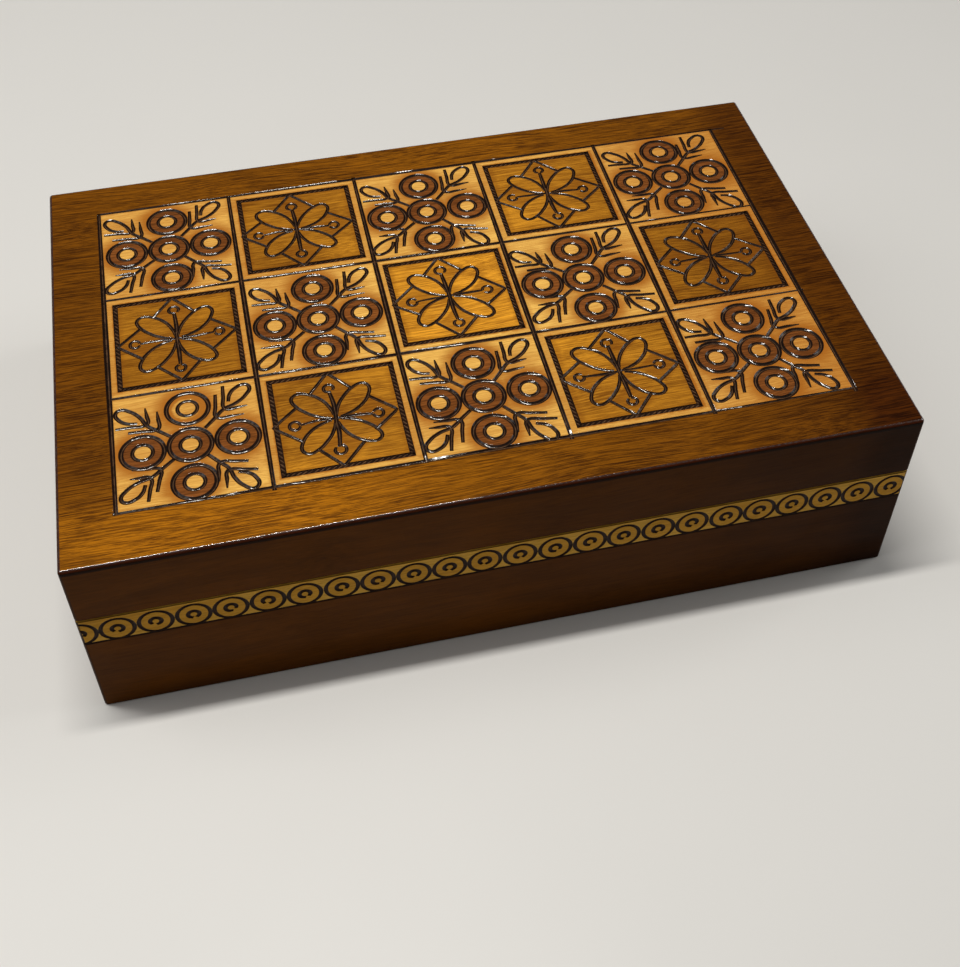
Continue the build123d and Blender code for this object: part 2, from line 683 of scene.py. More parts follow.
def wood_figure() -> bpy.types.NodeTree:
    """Figure of close-grained wood whose fibres run along the vector's first axis.

    Returns:
        A group that gives clouds of colour, long streaks, short flecks and fine fibres.
    """
    graph, place = start_group("wood_figure")
    place = graph.stretch(place, PER_METRE)
    sway = graph.noise(graph.stretch(place, (0.012, 0.03, 0.03)), 1.0, 1.0, 0.5, "Color")
    sideways = (0.0, 9.0, 9.0)
    place = graph.wire("VectorMath", {0: sway, 1: sideways, 2: place}, operation="MULTIPLY_ADD")
    clouds = graph.fibres(place, along=0.03, across=0.11, detail=3.0, rough=0.55)
    streaks = graph.fibres(place, along=0.07, across=2.2, detail=4.0, rough=0.72)
    flecks = graph.fibres(place, along=0.2, across=3.2, detail=1.0, rough=0.5)
    fibres = graph.fibres(place, along=0.2, across=5.5, detail=2.0, rough=0.6)
    return close_group(
        graph, Clouds=graph.step(clouds, 0.32, 0.68), Streaks=graph.step(streaks, 0.38, 0.62),
        Flecks=graph.step(flecks, 0.56, 0.72), Fibres=fibres)


def shell_place(size: BoxSize, coat: StainAndShadeSpans) -> bpy.types.NodeTree:
    """Where a point lies in the closed box.

    Args:
        size: Sizes of the box.
        coat: Where the stain lies thick and where shade is painted.

    Returns:
        A group that gives the depth below the nearest outer face and the height above the underside in
        millimetres, a mask of thick stain and painted shade (darker right and back left, a painted light
        pool in the middle), and a mask of the right-hand end, whose darkening is partly painted shade too.
    """
    graph, place = start_group("shell_place")
    across, along, rise = graph.millimetres(place)
    from_end = size.half_length - abs(across)
    depth = graph.least(from_end, size.half_width - abs(along), size.height - rise)
    # Painted shade mixed with thicker stain: darker to the right, at the ends, front right and back left,
    # and lighter in the middle as a painted light pool.
    right = graph.step(across, *coat.rightwards)
    back = graph.step(along, *coat.backwards)
    middle = graph.step(graph.distance(across, along, (0.0, 0.0)), *coat.thin_lit_middle)
    thick = right * coat.on_right + graph.step(across, *coat.far_right) * coat.on_far_right
    thick = thick + graph.step(from_end, *coat.near_end) * (right * coat.on_right_end + coat.on_end)
    thick = thick + (1.0 - back) * right * coat.on_front_right
    thick = thick + back * (1.0 - right) * coat.on_back_left - middle * coat.off_middle
    # The right-hand tiles darken too, partly as painted shade.
    far = graph.step(across, *coat.far_tiles)
    return close_group(graph, Depth=depth, Rise=rise, Thick=thick.held(), Far=far)


def handling_marks() -> bpy.types.NodeTree:
    """Marks of years of handling.

    Returns:
        A group that gives soft smudges and hair-fine scratches.
    """
    graph, place = start_group("handling_marks")
    smudges = graph.noise(place, scale=38.0, detail=3.0, rough=0.6)
    slanting = graph.turned(place, degrees=31.0, scale=(40.0, 1400.0, 1400.0))
    scratches = graph.noise(slanting, scale=1.0, detail=1.0, rough=0.5)
    return close_group(
        graph, Smudges=graph.step(smudges, 0.38, 0.7), Scratches=graph.step(scratches, 0.7, 0.76))


def tile_browning(top: "CarvedTop", heat: Heat) -> bpy.types.NodeTree:
    """Where the hot iron has browned the wood beside its strokes, by the place within a tile.

    Args:
        top: The carved top, for the places of its tiles.
        heat: How far the heat goes.

    Returns:
        A group that gives masks for the ground of the ring tiles, for the strips outside the ropes and
        for the ground of the petal tiles.
    """
    graph, place = start_group("tile_browning")
    across, along, _ = graph.millimetres(place)
    half_x = (top.columns[-1] - top.columns[0]) / (len(top.columns) - 1) / 2
    half_y = (top.rows[0] - top.rows[-1]) / (len(top.rows) - 1) / 2
    across = abs(graph.math("WRAP", across - (top.columns[0] + half_x), half_x, -half_x))
    along = graph.math("WRAP", along - (top.rows[-1] + half_y), half_y, -half_y)
    level = abs(along)
    ragged = graph.noise(place, heat.ragged_scale, 3.0, 0.6) * (2 * heat.ragged) - heat.ragged

    up = abs(along - top.ring_drop)
    hearts = ((0.0, 0.0), (top.ring_reach[0], 0.0), (0.0, top.ring_reach[1]))
    rings = graph.least(*(graph.distance(across, up, heart) for heart in hearts)) + ragged
    outside = graph.step(rings, *(top.ring_inner + away for away in heat.off_hole))
    near_rings = graph.step(rings, *(top.ring_outer + away for away in heat.off_ring)) * outside
    near_stem = graph.step(abs(across - up) + ragged, *heat.off_stem) * heat.stem * outside
    near_stem = near_stem * graph.step(across + up, *heat.stem_end)

    edge = graph.most(across, level) + ragged
    near_line = graph.step(edge, *heat.to_line) * heat.line
    upright = graph.step(across - level, -heat.upright_soft, heat.upright_soft) * heat.upright
    strip = graph.step(edge, *heat.to_strip)

    outwards = across + level
    wide, narrow = heat.petal_scale
    petal = graph.distance(outwards * wide, (across - level) * narrow, heat.petal_middle)
    points = graph.step(petal, *heat.off_petal) * graph.step(outwards, *heat.petal_end) * heat.point
    near_heart = graph.step(outwards + ragged, *heat.off_heart) * heat.heart
    near_rope = graph.step(edge, *heat.to_rope) * heat.rope
    return close_group(
        graph, Rings=graph.most(near_rings, near_stem, near_line),
        Strips=graph.most(near_line, strip, upright), Petals=graph.most(points, near_heart, near_rope))


class Effects:
    """Shader node groups that several finishes share, each made once."""

    def __init__(self, size: BoxSize) -> None:
        """Makes the groups.

        Args:
            size: Sizes of the box.
        """
        self.wood = wood_figure()
        self.shell = shell_place(size, StainAndShadeSpans())
        self.handling = handling_marks()
        self.browning = tile_browning(CarvedTop(size), Heat())


# Finishes

# Scorch colour; on the base's top arris it also paints the seam's shadow line.
SCORCH = (0.04, 0.014, 0.005)
# Near-black of a painted shadow line under the lid top's rounded edge.
SHADOW_LINE_BLACK = (0.01, 0.004, 0.002)
SCORCHED_SHARE = 0.85
SHADOW_LINE_SHARE = 0.9
BROWNED_SHARE = 0.92
SCRATCH_DULLING = 0.35
SMUDGE_ROUGHNESS = (-0.05, 0.1)
COAT_ROUGHNESS = 0.06
FIBRE_RELIEF = 0.00004
RELIEF_STRENGTH = 0.6


@dataclass(frozen=True)
class Wood:
    """Colours of one wood surface: where it is light, in the streaks and in the flecks.

    The tint multiplies the wood by the shell's mask of thick stain and painted shade, past the share
    that is spared, and at the far end, which is partly painted shade as well; this paints a light pool
    that is brightest in the middle and front left.
    """

    light: Colour
    dark: Colour
    fleck: Colour
    clouds: float = 0.3
    streaks: float = 0.5
    flecks: float = 0.3
    thick: float = 0.0
    spared: float = 0.0
    tint: Colour = (0.16, 0.14, 0.2)
    far: float = 0.0

    def paint(self, graph: Graph, figure: dict[str, Wire], shell: dict[str, Wire]) -> Wire:
        """Paints the wood's colour.

        Args:
            graph: The material's graph.
            figure: The wood figure.
            shell: The place in the box.

        Returns:
            The colour.
        """
        shade = figure["Streaks"] * self.streaks + figure["Clouds"] * self.clouds
        colour = graph.blend(shade.held(), self.light, self.dark)
        colour = graph.blend(figure["Flecks"] * self.flecks, colour, self.fleck)
        # Painted shade and thicker stain together: the light pool, and the darker right and back left.
        coats = (shell["Thick"] - self.spared).held() * self.thick
        coats = coats.held() + shell["Far"] * self.far
        return graph.blend(coats.held(), colour, self.tint, "MULTIPLY")


def start_material(name: str) -> tuple[bpy.types.Material, Graph, bpy.types.Node, Wire]:
    """Makes a material with its shader and the place on the piece.

    Args:
        name: The material's name.

    Returns:
        The material, its graph, the Principled shader and the Object coordinates.
    """
    material = bpy.data.materials.new(name)
    material.use_nodes = True
    graph = Graph(material.node_tree)
    shader = material.node_tree.nodes["Principled BSDF"]
    return material, graph, shader, graph.wire("TexCoord", {}, "Object")


def handled(graph: Graph, marks: dict[str, Wire], roughness: float) -> Wire:
    """The roughness of a surface that many hands have smudged."""
    return graph.spread(marks["Smudges"], *(roughness + change for change in SMUDGE_ROUGHNESS))


@dataclass(frozen=True)
class BoardFinish:
    """Stain and lacquer outside, bare wood inside; heights of its changes are above the underside."""

    name: str
    stain: Wood
    bare: Wood
    grain: Grain = Grain.LENGTHWISE
    scorch_top: float = 200.0
    dark_rise: float = 0.0
    band: Wood | None = None
    band_low: float = 34.3
    roughness: float = 0.42
    coat: float = 0.3
    gloss: float = 0.02
    bare_roughness: float = 0.25
    creep_scale: float = 900.0
    scorch_depth: Point = (0.004, 0.06)
    scorch_soft: float = 0.2
    dark_soft: float = 0.5
    soak: Point = (1.2, 0.1)
    soak_soft: float = 0.5
    band_creep: float = 0.9
    band_edge: Point = (-0.15, 0.35)
    band_line: Point = (0.1, 0.6)
    band_line_share: float = 0.7

    def make(self, effects: Effects) -> bpy.types.Material:
        """Makes the material.

        Args:
            effects: The shared node groups.

        Returns:
            The material.
        """
        material, graph, shader, place = start_material(self.name)
        figure = graph.group(effects.wood, graph.turned(place, self.grain.value))
        shell = graph.group(effects.shell, place)
        marks = graph.group(effects.handling, place)
        creep = graph.noise(place, self.creep_scale, 2.0, 0.6)

        colour = self.stain.paint(graph, figure, shell)
        if self.band is not None:
            rise = shell["Rise"] + creep * self.band_creep - self.band_creep / 2
            colour = self.paint_band(graph, rise, colour, self.band.paint(graph, figure, shell))
        # Scorch reaches up to this height; on the base it takes in half of the top arris, a painted shadow
        # line in the seam under the lid.
        below = 1.0 - graph.step(shell["Rise"], self.scorch_top, self.scorch_top + self.scorch_soft)
        scorched = graph.step(shell["Depth"], *self.scorch_depth) * SCORCHED_SHARE
        colour = graph.blend(scorched * below, colour, SCORCH)
        # Painted shadow line: a near-black band just under the lid top's rounded edge.
        if self.dark_rise > 0.0:
            shadow_line = graph.step(shell["Rise"], self.dark_rise, self.dark_rise + self.dark_soft)
            colour = graph.blend(shadow_line * SHADOW_LINE_SHARE, colour, SHADOW_LINE_BLACK)
        soak = creep * self.soak[0] + self.soak[1]
        inside = graph.step(shell["Depth"], soak, soak + self.soak_soft)
        colour = graph.blend(inside, colour, self.bare.paint(graph, figure, shell))

        rough = inside * self.bare_roughness + handled(graph, marks, self.roughness)
        lacquer = (1.0 - inside) * (1.0 - marks["Scratches"] * SCRATCH_DULLING)
        graph.fill(shader, {
            "Base Color": colour,
            "Roughness": rough.held(),
            "Coat Weight": lacquer * self.coat,
            "Coat Roughness": COAT_ROUGHNESS,
            "Specular IOR Level": self.gloss,
            "Normal": graph.bump(figure["Fibres"], FIBRE_RELIEF, RELIEF_STRENGTH),
        })
        return material

    def paint_band(self, graph: Graph, rise: Wire, stained: Wire, plain: Wire) -> Wire:
        """Leaves the upper part of the base unstained, with a ragged dark line where the stain stops.

        Args:
            graph: The material's graph.
            rise: Height above the underside, made ragged.
            stained: Colour of the stained wood.
            plain: Colour of the band's wood.

        Returns:
            The colour with the band.
        """
        in_band = graph.step(rise, *(self.band_low + away for away in self.band_edge))
        line = 1.0 - graph.step(abs(rise - self.band_low), *self.band_line)
        return graph.blend(line * self.band_line_share, graph.blend(in_band, stained, plain), SCORCH)


@dataclass(frozen=True)
class FieldFinish:
    """One stain of the carved field under the lacquer, browned along the grooves or dented at the edge."""

    name: str
    wood: Wood
    roughness: float = 0.42
    coat: float = 0.3
    dents: float = 0.0
    gloss: float = 0.02
    coat_index: float = 1.5
    browning: str = ""
    browned: Colour = (0.4, 0.13, 0.013)
    scorch_depth: Point = (0.003, 0.055)
    dent_scale: float = 900.0
    dent_spots: Point = (0.4, 0.6)
    dent_coat: float = 0.25

    def make(self, effects: Effects) -> bpy.types.Material:
        """Makes the material.

        Args:
            effects: The shared node groups.

        Returns:
            The material.
        """
        material, graph, shader, place = start_material(self.name)
        figure = graph.group(effects.wood, place)
        shell = graph.group(effects.shell, place)
        marks = graph.group(effects.handling, place)
        colour = self.wood.paint(graph, figure, shell)
        lacquer = 1.0 - marks["Scratches"] * SCRATCH_DULLING
        if self.browning:
            heat = graph.group(effects.browning, place)[self.browning]
            colour = graph.blend(heat * BROWNED_SHARE, colour, self.browned)
        if self.dents > 0.0:
            height, reach = graph.noise(place, self.dent_scale, 3.0, 0.65), self.dents
            lacquer = lacquer * graph.spread(graph.step(height, *self.dent_spots), self.dent_coat, 1.0)
        else:
            height, reach = figure["Fibres"], FIBRE_RELIEF
            scorched = graph.step(shell["Depth"], *self.scorch_depth)
            colour = graph.blend(scorched * SCORCHED_SHARE, colour, SCORCH)
        graph.fill(shader, {
            "Base Color": colour,
            "Roughness": handled(graph, marks, self.roughness),
            "Coat Weight": lacquer * self.coat,
            "Coat Roughness": COAT_ROUGHNESS,
            "Coat IOR": self.coat_index,
            "Specular IOR Level": self.gloss,
            "Normal": graph.bump(height, reach, RELIEF_STRENGTH),
        })
        return material


@dataclass(frozen=True)
class BurntFinish:
    """Wood burnt by a hot iron, with lacquer in spots."""

    name: str
    light: Colour
    dark: Colour
    coat: float
    gloss: float = 0.05
    relief: float = 0.00013
    relief_strength: float = 0.8
    heat_scale: float = 420.0
    heat_spots: Point = (0.35, 0.65)
    roughness: Point = (0.3, 0.6)
    grit_scale: float = 1300.0
    grit_spots: Point = (0.42, 0.6)
    least_coat: float = 0.2
    smudge_dulling: float = 0.3

    def make(self, effects: Effects) -> bpy.types.Material:
        """Makes the material.

        Args:
            effects: The shared node groups.

        Returns:
            The material.
        """
        material, graph, shader, place = start_material(self.name)
        marks = graph.group(effects.handling, place)
        heat = graph.noise(place, self.heat_scale, 3.0, 0.6)
        grit = graph.noise(place, self.grit_scale, 2.0, 0.6)
        spots = graph.spread(graph.step(grit, *self.grit_spots), self.coat * self.least_coat, self.coat)
        graph.fill(shader, {
            "Base Color": graph.blend(graph.step(heat, *self.heat_spots), self.light, self.dark),
            "Roughness": graph.spread(heat, *self.roughness),
            "Coat Weight": (1.0 - marks["Smudges"] * self.smudge_dulling) * spots,
            "Coat Roughness": COAT_ROUGHNESS,
            "Specular IOR Level": self.gloss,
            "Normal": graph.bump(grit, self.relief, self.relief_strength),
        })
        return material


@dataclass(frozen=True)
class BrassFinish:
    """Rolled or drawn brass, a little dulled by air and fingers."""

    name: str
    bright: Colour
    dull: Colour
    roughness: float
    brush: Colour = (60.0, 2200.0, 2200.0)
    relief: float = 0.00002
    relief_strength: float = 0.5
    tarnish_scale: float = 260.0
    tarnish_spots: Point = (0.42, 0.72)
    brush_shade: float = 0.2
    dull_roughness: float = 0.2
    scratch_roughness: float = 0.1

    def make(self, effects: Effects) -> bpy.types.Material:
        """Makes the material.

        Args:
            effects: The shared node groups.

        Returns:
            The material.
        """
        material, graph, shader, place = start_material(self.name)
        marks = graph.group(effects.handling, place)
        brushed = graph.noise(graph.stretch(place, self.brush), 1.0, 2.0, 0.6)
        tarnish = graph.step(graph.noise(place, self.tarnish_scale, 4.0, 0.65), *self.tarnish_spots)
        shade = (brushed * self.brush_shade + tarnish).held()
        rough = shade * self.dull_roughness + self.roughness + marks["Scratches"] * self.scratch_roughness
        graph.fill(shader, {
            "Base Color": graph.blend(shade, self.bright, self.dull),
            "Roughness": rough.held(),
            "Metallic": 1.0,
            "Normal": graph.bump(brushed, self.relief, self.relief_strength),
        })
        return material


@dataclass(frozen=True)
class FloorFinish:
    """A plain pale table top."""

    name: str = "pale_floor"
    light: Colour = (0.80, 0.795, 0.775)
    dark: Colour = (0.75, 0.745, 0.725)
    drift_scale: float = 5.0
    roughness: Point = (0.42, 0.55)

    def make(self) -> bpy.types.Material:
        """Makes the material.

        Returns:
            The material.
        """
        material, graph, shader, place = start_material(self.name)
        drift = graph.noise(place, self.drift_scale, 4.0, 0.55)
        rough = graph.spread(drift, *self.roughness)
        graph.fill(shader, {"Base Color": graph.blend(drift, self.light, self.dark), "Roughness": rough})
        return material


BARE_WOOD = Wood((0.58, 0.385, 0.205), (0.46, 0.285, 0.135), (0.36, 0.2, 0.085), flecks=0.35)
# thick, spared and far set how much each wood darkens under the mask of thick stain and painted shade.
BROWN_STAIN = Wood((0.5, 0.178, 0.006), (0.055, 0.013, 0.002), (0.04, 0.01, 0.002), 0.2, 0.72, 0.4,
                   thick=1.5, tint=(0.16, 0.11, 0.2))
# The sides' stain is far darker than the top's brown: partly darker stain, partly painted shade of the
# sides.
SIDE_STAIN_AND_SHADE = Wood((0.118, 0.036, 0.002), (0.018, 0.005, 0.001), (0.03, 0.008, 0.001), 0.25, 0.22, 0.25,
                  thick=1.8, spared=0.2)
EDGE_STAIN = Wood((0.06, 0.012, 0.003), (0.025, 0.006, 0.002), (0.015, 0.004, 0.002))
PALE_WOOD = Wood((1.0, 0.61, 0.14), (0.5, 0.175, 0.018), (0.36, 0.13, 0.015), 0.24, 0.42, 0.35,
                 thick=0.8, tint=(0.5, 0.26, 0.1), far=0.26)
AMBER_STAIN = Wood((1.0, 0.44, 0.032), (0.2, 0.056, 0.004), (0.14, 0.036, 0.003), 0.3, 0.55, 0.4,
                   thick=1.7, tint=(0.2, 0.14, 0.1), far=0.14)
RUSSET_STAIN = Wood((0.34, 0.11, 0.022), (0.06, 0.017, 0.004), (0.05, 0.014, 0.004), 0.25, 0.6, 0.4,
                    thick=0.6)
BAND_WOOD = Wood((0.68, 0.385, 0.062), (0.42, 0.215, 0.025), (0.29, 0.135, 0.013))
RINGED_WOOD = Wood((0.6, 0.305, 0.034), (0.38, 0.178, 0.016), (0.28, 0.11, 0.01))
AMBER_BROWNED = (0.22, 0.066, 0.005)
EDGE_DENTS = 0.0004
# Height where the painted shadow line under the lid top's rounded edge begins.
LID_DARK_RISE = 67.9
# Scorch on the base reaches into half of its top arris: a painted shadow line in the seam under the lid.
SCORCH_AND_SEAM_SHADE_TOP = 45.55
SIDE_COAT = 0.025


class Finishes:
    """Every finish of the box, made once."""

    def __init__(self, size: BoxSize) -> None:
        """Makes the materials.

        Args:
            size: Sizes of the box.
        """
        effects = Effects(size)

        def boards(name: str, **choices: object) -> dict[Grain, bpy.types.Material]:
            """Makes a stained board's finish for each way of the grain.

            Args:
                name: The start of the material's name.
                choices: Fields of the finish.

            Returns:
                The materials by grain.
            """
            return {grain: BoardFinish(f"{name}_{grain.name.lower()}", SIDE_STAIN_AND_SHADE, BARE_WOOD, grain,
                                       coat=SIDE_COAT, **choices).make(effects) for grain in Grain}

        self.rail = boards("stained_rail", dark_rise=LID_DARK_RISE)
        self.board = boards("banded_board", scorch_top=SCORCH_AND_SEAM_SHADE_TOP, band=BAND_WOOD)
        self.ringed = boards("ringed_board", scorch_top=SCORCH_AND_SEAM_SHADE_TOP, band=RINGED_WOOD)
        top = {
            Stain.BORDER: BoardFinish("brown_border", BROWN_STAIN, BARE_WOOD),
            Stain.PALE: FieldFinish("pale_ground", PALE_WOOD, browning="Rings"),
            Stain.STRIP: FieldFinish("pale_strip", PALE_WOOD, browning="Strips"),
            Stain.AMBER: FieldFinish("amber_ground", AMBER_STAIN, browning="Petals", browned=AMBER_BROWNED),
            Stain.RUSSET: FieldFinish("russet_rings", RUSSET_STAIN),
            Stain.BURNT: BurntFinish("burnt_wall", (0.014, 0.005, 0.0025), (0.007, 0.003, 0.0015), 0.7),
            # Painted sheen: the grooves' bottoms and the rope's dents are lighter than their walls.
            Stain.ASHEN: BurntFinish("ashen_bottom", (0.12, 0.062, 0.03), (0.05, 0.024, 0.011), 0.8),
            Stain.SCORCHED: BurntFinish("scorched_bed", (0.024, 0.009, 0.004), (0.012, 0.005, 0.0025), 0.6),
            Stain.EDGE: FieldFinish("glossy_edge", EDGE_STAIN, 0.16, 1.0, EDGE_DENTS, 0.3, 3.2),
            Stain.RIM: FieldFinish("dark_rim", EDGE_STAIN, 0.4, 0.1, EDGE_DENTS),
        }
        self.top = {stain: finish.make(effects) for stain, finish in top.items()}
        self.top[Stain.SIDE] = self.rail[Grain.LENGTHWISE]
        wall = BurntFinish("burnt_ring_wall", (0.026, 0.009, 0.003), (0.014, 0.005, 0.002), 0.12)
        # The bed is a little lighter than the wall: a faint painted sheen in the groove's bottom.
        bed = BurntFinish("burnt_ring_bed", (0.036, 0.014, 0.005), (0.02, 0.007, 0.003), 0.12)
        sheet = BoardFinish("bare_sheet", BARE_WOOD, BARE_WOOD, coat=0.0, roughness=0.6)
        leaf = BrassFinish("rolled_brass", (0.78, 0.56, 0.24), (0.42, 0.27, 0.1), 0.26)
        pin = BrassFinish("drawn_brass", (0.72, 0.51, 0.21), (0.4, 0.26, 0.1), 0.3)
        screw = BrassFinish("turned_brass", (0.8, 0.59, 0.26), (0.45, 0.3, 0.11), 0.24, (900.0,) * 3)
        others = (wall, bed, sheet, leaf, pin, screw)
        self.ring_wall, self.ring_bed, self.sheet, self.leaf, self.pin, self.screw = (
            finish.make(effects) for finish in others)


def put_finish(node: bpy.types.Object, material: bpy.types.Material) -> None:
    """Puts a material into every slot of a kept solid.

    Args:
        node: The solid.
        material: The material.
    """
    if not node.material_slots:
        node.data.materials.append(material)
    for slot in node.material_slots:
        slot.material = material
    log.info("%s: kept, %s", node.name, material.name)


# The carved lid

CARVING_SEED = 31

# A stem that runs on into an open leaf, and the two sides of a petal, in the first quarter of a tile
LEAF: Line = (
    (4.7, 5.6), (7.9, 9.0), (10.8, 12.1), (14.8, 14.0), (18.1, 16.9),
    (19.4, 19.8), (18.1, 21.3), (15.2, 20.4), (13.2, 18.1), (12.5, 15.0),
)
PETAL_SIDE: Line = ((1.5, 0.55), (4.6, 1.3), (9.0, 4.1), (11.5, 7.7), (12.1, 10.6), (11.2, 12.2))
PETAL_BACK: Line = ((0.55, 1.5), (1.4, 4.7), (4.1, 8.8), (7.6, 11.8), (10.0, 12.6), (11.4, 12.1))


@dataclass
class CarvedTop:
    """The lid's top board with its field of burnt and stained tiles."""

    size: BoxSize
    name: str = "carved_lid_top"
    columns: tuple[float, ...] = (-113.0, -67.4, -22.0, 22.6, 68.2, 114.2)
    rows: tuple[float, ...] = (69.3, 23.8, -21.6, -67.3)
    line_width: float = 1.6
    level_width: float = 1.25
    line_bend: float = 0.15
    line_end: float = 0.7
    level_end: float = 0.5
    past_foot: Point = (0.6, 1.6)
    past_head: Point = (0.4, 1.4)
    past_left: Point = (0.3, 1.0)
    past_right: Point = (0.4, 1.2)
    overrun: float = 5.5
    ring_reach: Point = (14.4, 14.8)
    ring_outer: float = 6.45
    ring_inner: float = 3.05
    ring_width: float = 1.3
    inner_width: float = 1.05
    ring_drop: float = -0.8
    heart_slip: float = 0.3
    ring_slip: float = 0.25
    leaf_width: float = 1.15
    lower_leaf_turn: float = 6.0
    sprig_turn: float = 3.0
    sprig_grow: Point = (0.96, 1.02)
    chevron_width: float = 1.1
    chevron_slip: float = 0.7
    chevron_turn: float = 2.0
    petal_width: float = 1.05
    petal_shift: float = 0.7
    petal_slip: Point = (0.5, 0.4)
    petal_turn: float = 2.5
    petal_grow: Point = (0.97, 1.03)
    point_width: float = 1.0
    point_reach: float = 18.9
    point_foot: Point = (11.1, 7.2)
    point_blunt: Point = (0.6, 0.8)
    knob_width: float = 0.95
    knob_place: Point = (12.6, 13.6)
    knob_slip: float = 0.7
    knob_radius: Point = (1.5, 1.75)
    knob_sweep: Point = (320.0, 342.0)
    stem_width: float = 1.3
    thin_stem: Point = (0.75, 1.1)
    waist: Point = (3.6, 1.75)
    belt: Point = (2.0, 1.2)
    knot_turns: Point = (6.0, 8.0)
    tile_half: float = 22.6
    rope_half: float = 19.3
    rope_width: float = 1.75
    rope_depth: float = 0.12
    rope_pitch: float = 1.77
    rope_count: int = 22
    stamp_foot: float = 0.62
    stamp_scale: Colour = (0.46, 1.75, 0.9)
    stamp_slant: float = -55.0
    stamp_lift: float = 0.1
    bare_ring_tile: tuple[int, int] = (2, 0)
    groove_depth: float = 0.04
    carving_depth: float = 1.0
    edge_margin: float = 1.25
    edge_slopes: Colour = (0.97, 0.8, 0.4)
    rings: list[tuple[float, float, bool]] = field(default_factory=list)
    dice: random.Random = field(default_factory=lambda: random.Random(CARVING_SEED))

    def near(self, most: float) -> float:
        """A small error of the hand, one way or the other."""
        return self.dice.uniform(-most, most)

    def between(self, span: Point) -> float:
        """A value that the hand happens to pick within a span."""
        return self.dice.uniform(*span)

    def motif(self, row: int, column: int) -> Motif:
        """The ornament of a tile."""
        return Motif.RINGS if (row + column) % 2 == 0 else Motif.PETALS

    def tiles(self, motif: Motif) -> list[tuple[int, int, Point]]:
        """Lists the tiles that carry one ornament.

        Args:
            motif: The ornament.

        Returns:
            Row, column and middle of each tile.
        """
        found = []
        for row in range(len(self.rows) - 1):
            for column in range(len(self.columns) - 1):
                if self.motif(row, column) is motif:
                    across = (self.columns[column] + self.columns[column + 1]) / 2
                    along = (self.rows[row] + self.rows[row + 1]) / 2
                    found.append((row, column, (across, along)))
        return found

    def build(self) -> bpy.types.Object:
        """Carves the top board.

        Returns:
            The piece.
        """
        piece = blank("lid_top_panel", self.name)
        cut(piece, self.rope_trenches())
        cut(piece, self.rope_stamps())
        for strokes, smoothness in self.grid_layers() + self.ring_layers() + self.petal_layers():
            cut(piece, gouge(self.size, Face.TOP, strokes, smoothness))
        return piece

    def grid_layers(self) -> list[Layer]:
        """Lines between the tiles, upright ones and level ones apart, each drawn by hand.

        Returns:
            Two layers of strokes.
        """
        low, high = self.rows[-1], self.rows[0]
        left, right = self.columns[0], self.columns[-1]
        upright = []
        for across in self.columns:
            ends = (low - self.between(self.past_foot), high + self.between(self.past_head))
            middle = (across + self.near(self.line_bend), (low + high) / 2)
            line = ((across, ends[0]), middle, (across, ends[1]))
            upright.append(Stroke(line, self.line_width, start=self.line_end, end=self.line_end))
        level = []
        for number, along in enumerate(self.rows):
            reach = self.overrun if number == 0 else self.between(self.past_right)
            middle = ((left + right) / 2, along + self.near(self.line_bend))
            line = ((left - self.between(self.past_left), along), middle, (right + reach, along))
            level.append(Stroke(line, self.level_width, start=self.line_end, end=self.level_end))
        return [(upright, 4), (level, 4)]

    def ring_layers(self) -> list[Layer]:
        """Rings and sprigs.

        Returns:
            Layers of strokes for the middle rings, the outer rings, the leaves and the chevrons.
        """
        middle_rings, outer_rings, leaves, chevrons = [], [], [], []
        leaf = Stroke(LEAF, self.leaf_width, start=0.9, end=0.85)
        for row, column, (across, along) in self.tiles(Motif.RINGS):
            heart = (across + self.near(self.heart_slip),
                     along + self.ring_drop + self.near(self.heart_slip))
            middle_rings += self.ring_pair(heart, True)
            for step_x, step_y in ((1, 0), (0, 1), (-1, 0), (0, -1)):
                spot = (heart[0] + step_x * self.ring_reach[0] + self.near(self.ring_slip),
                        heart[1] + step_y * self.ring_reach[1] + self.near(self.ring_slip))
                stained = (row, column) != self.bare_ring_tile or step_y != 1
                outer_rings += self.ring_pair(spot, stained)
            for quarter in range(4):
                turn = quarter * QUARTER_TURN + self.near(self.sprig_turn)
                turn -= self.lower_leaf_turn if quarter > 1 else 0.0
                grow = self.between(self.sprig_grow)
                leaves.append(leaf.turned(turn, grow, heart))
                chevrons += [stroke.turned(turn + self.near(self.chevron_turn), grow, heart)
                             for stroke in self.chevrons()]
        return [(middle_rings, 12), (outer_rings, 12), (leaves, 5), (chevrons, 4)]

    def ring_pair(self, heart: Point, stained: bool) -> list[Stroke]:
        """An outer and an inner ring, noted down for the staining.

        Args:
            heart: Their middle.
            stained: Whether the wood between them is stained.

        Returns:
            Two closed strokes.
        """
        self.rings.append((*heart, stained))
        sizes = ((self.ring_outer, self.ring_width), (self.ring_inner, self.inner_width))
        return [circle(heart, radius, width) for radius, width in sizes]

    def chevrons(self) -> list[Stroke]:
        """Two bent strokes across a stem: a strong end upwards and a thin one sideways.

        Returns:
            The strokes.
        """
        slip = [self.near(self.chevron_slip) for _ in range(4)]
        lower = (
            (16.4 + slip[0], 9.1), (12.4, 8.9), (9.1, 8.8), (8.2, 9.6), (8.4, 13.6), (8.7, 18.2 + slip[1]),
        )
        upper = (
            (17.8 + slip[2], 12.3), (14.6, 12.0), (12.0, 11.8), (11.1, 12.5), (11.2, 17.0),
            (11.4, 21.6 + slip[3] * 0.5),
        )
        return [Stroke(line, self.chevron_width, start=0.4, end=0.85) for line in (lower, upper)]

